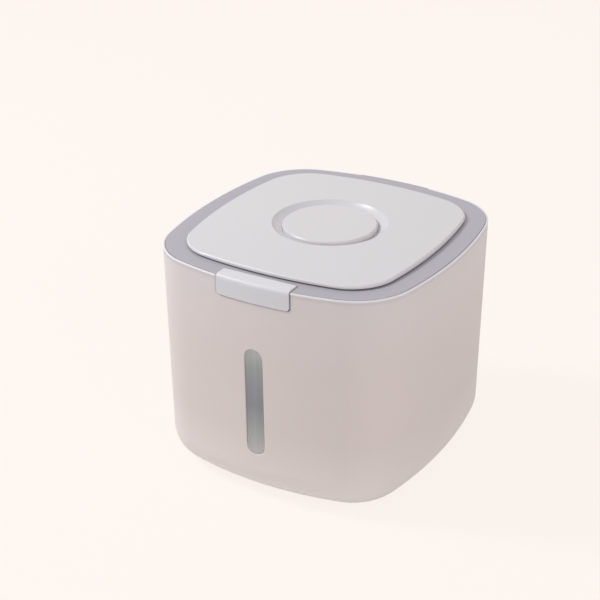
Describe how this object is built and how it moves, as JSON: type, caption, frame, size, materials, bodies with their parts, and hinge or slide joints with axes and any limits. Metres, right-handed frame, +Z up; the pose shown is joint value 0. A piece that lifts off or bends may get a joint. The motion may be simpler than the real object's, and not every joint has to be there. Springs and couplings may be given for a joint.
{
  "type": "rice storage container",
  "caption": "Rounded-square rice bin with a clear window strip, a rear-hinged sealed lid with a front latch, and a rice cup stored in the lid's recess.",
  "frame": {"origin": "on the floor, under the middle of the overall envelope", "axes": "+Z up, -Y towards the front with the latch and the window, +X towards the right seen from the front"},
  "size_m": [0.215, 0.238, 0.185],
  "materials": {
    "bucket_plastic": "fine satin moulded plastic, warm pinkish white",
    "white_plastic": "satin white moulded plastic",
    "latch_plastic": "satin white moulded plastic",
    "cup_plastic": "satin white moulded plastic",
    "liner_plastic": "satin white moulded plastic",
    "grey_plastic": "satin lavender-grey moulded plastic",
    "clear_plastic": "smoke-grey clear plastic",
    "silicone": "translucent silicone",
    "seal_rubber": "grey rubber",
    "pad_rubber": "grey non-slip rubber",
    "steel": "plain steel"
  },
  "bodies": {
    "bin": {"bucket": "bucket_plastic", "mouth_ring": "white_plastic", "window_pane": "clear_plastic", "window_gasket": "seal_rubber", "hinge_pin": "steel", "foot_front_left": "pad_rubber", "foot_front_right": "pad_rubber", "foot_back_left": "pad_rubber", "foot_back_right": "pad_rubber"},
    "lid": {"lid_frame": "grey_plastic", "lid_cover": "white_plastic", "lid_liner": "liner_plastic", "lid_gasket": "silicone", "lid_screws": "steel", "latch_pin": "steel"},
    "latch": {"latch": "latch_plastic"},
    "cup": {"measuring_cup": "cup_plastic"}
  },
  "joints": [
    {"name": "lid_hinge", "type": "hinge", "parent": "bin", "child": "lid", "pos_m": [0, 0.1152, 0.1695], "axis": [-1, 0, 0], "range_deg": [0, 95]},
    {"name": "latch_hinge", "type": "hinge", "parent": "lid", "child": "latch", "pos_m": [0, -0.1065, 0.1785], "axis": [-1, 0, 0], "range_deg": [0, 90]},
    {"name": "cup_lift", "type": "slide", "parent": "lid", "child": "cup", "axis": [0, 0, 1], "range_m": [0, 0.06]}
  ]
}
